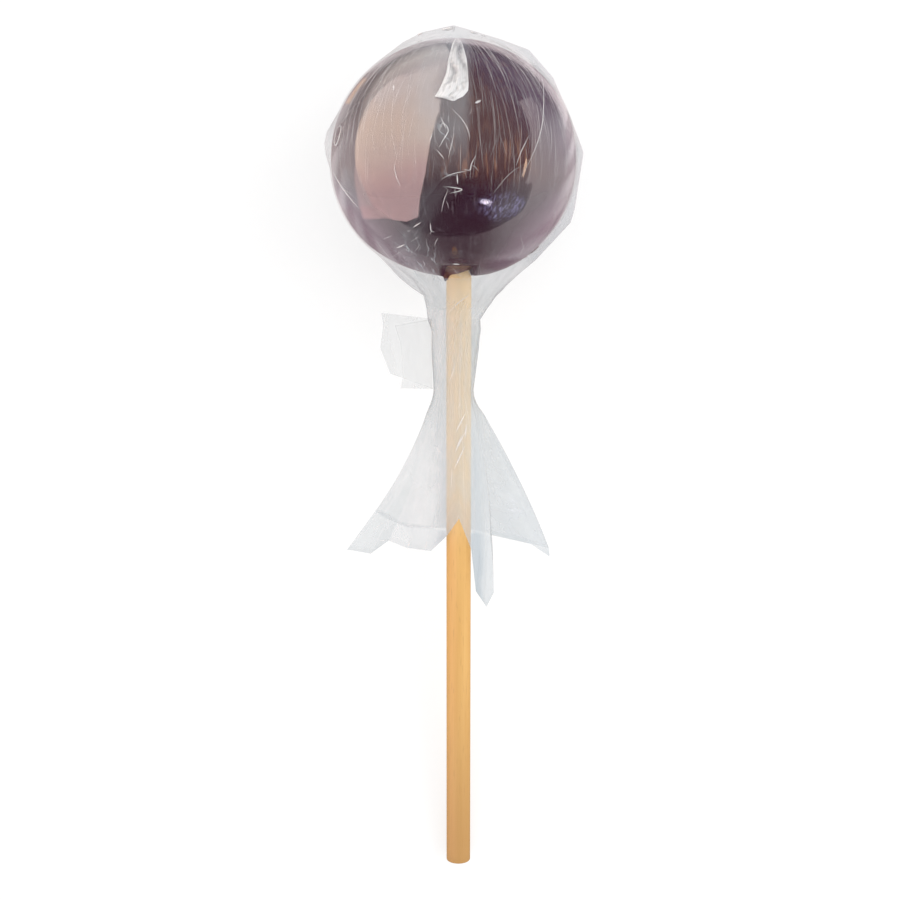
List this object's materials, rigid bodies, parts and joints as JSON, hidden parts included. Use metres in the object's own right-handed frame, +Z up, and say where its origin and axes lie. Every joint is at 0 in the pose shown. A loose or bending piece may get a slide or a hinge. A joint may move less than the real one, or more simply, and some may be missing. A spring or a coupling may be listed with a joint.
{
  "type": "ball lollipop in clear film",
  "caption": "Giant boiled-sweet ball lollipop on a wooden stick, lying down, in clear film gathered round the stick with clear tape.",
  "frame": {"origin": "the middle of the lollipop's footprint, on the surface that it lies on", "axes": "+Z up, +Y towards the ball's crown, the stick runs towards -Y, and the side with the tape's flag is -X"},
  "size_m": [0.0804, 0.2694, 0.0778],
  "materials": {
    "boiled_sweet": "glossy, dark plum boiled sugar",
    "birch": "bare sanded wood",
    "clear_film": "clear, glossy film",
    "clear_tape": "clear, slightly milky tape"
  },
  "bodies": {
    "root": {"candy": "boiled_sweet", "stick": "birch", "wrapper": "clear_film", "tape": "clear_tape"}
  },
  "joints": []
}
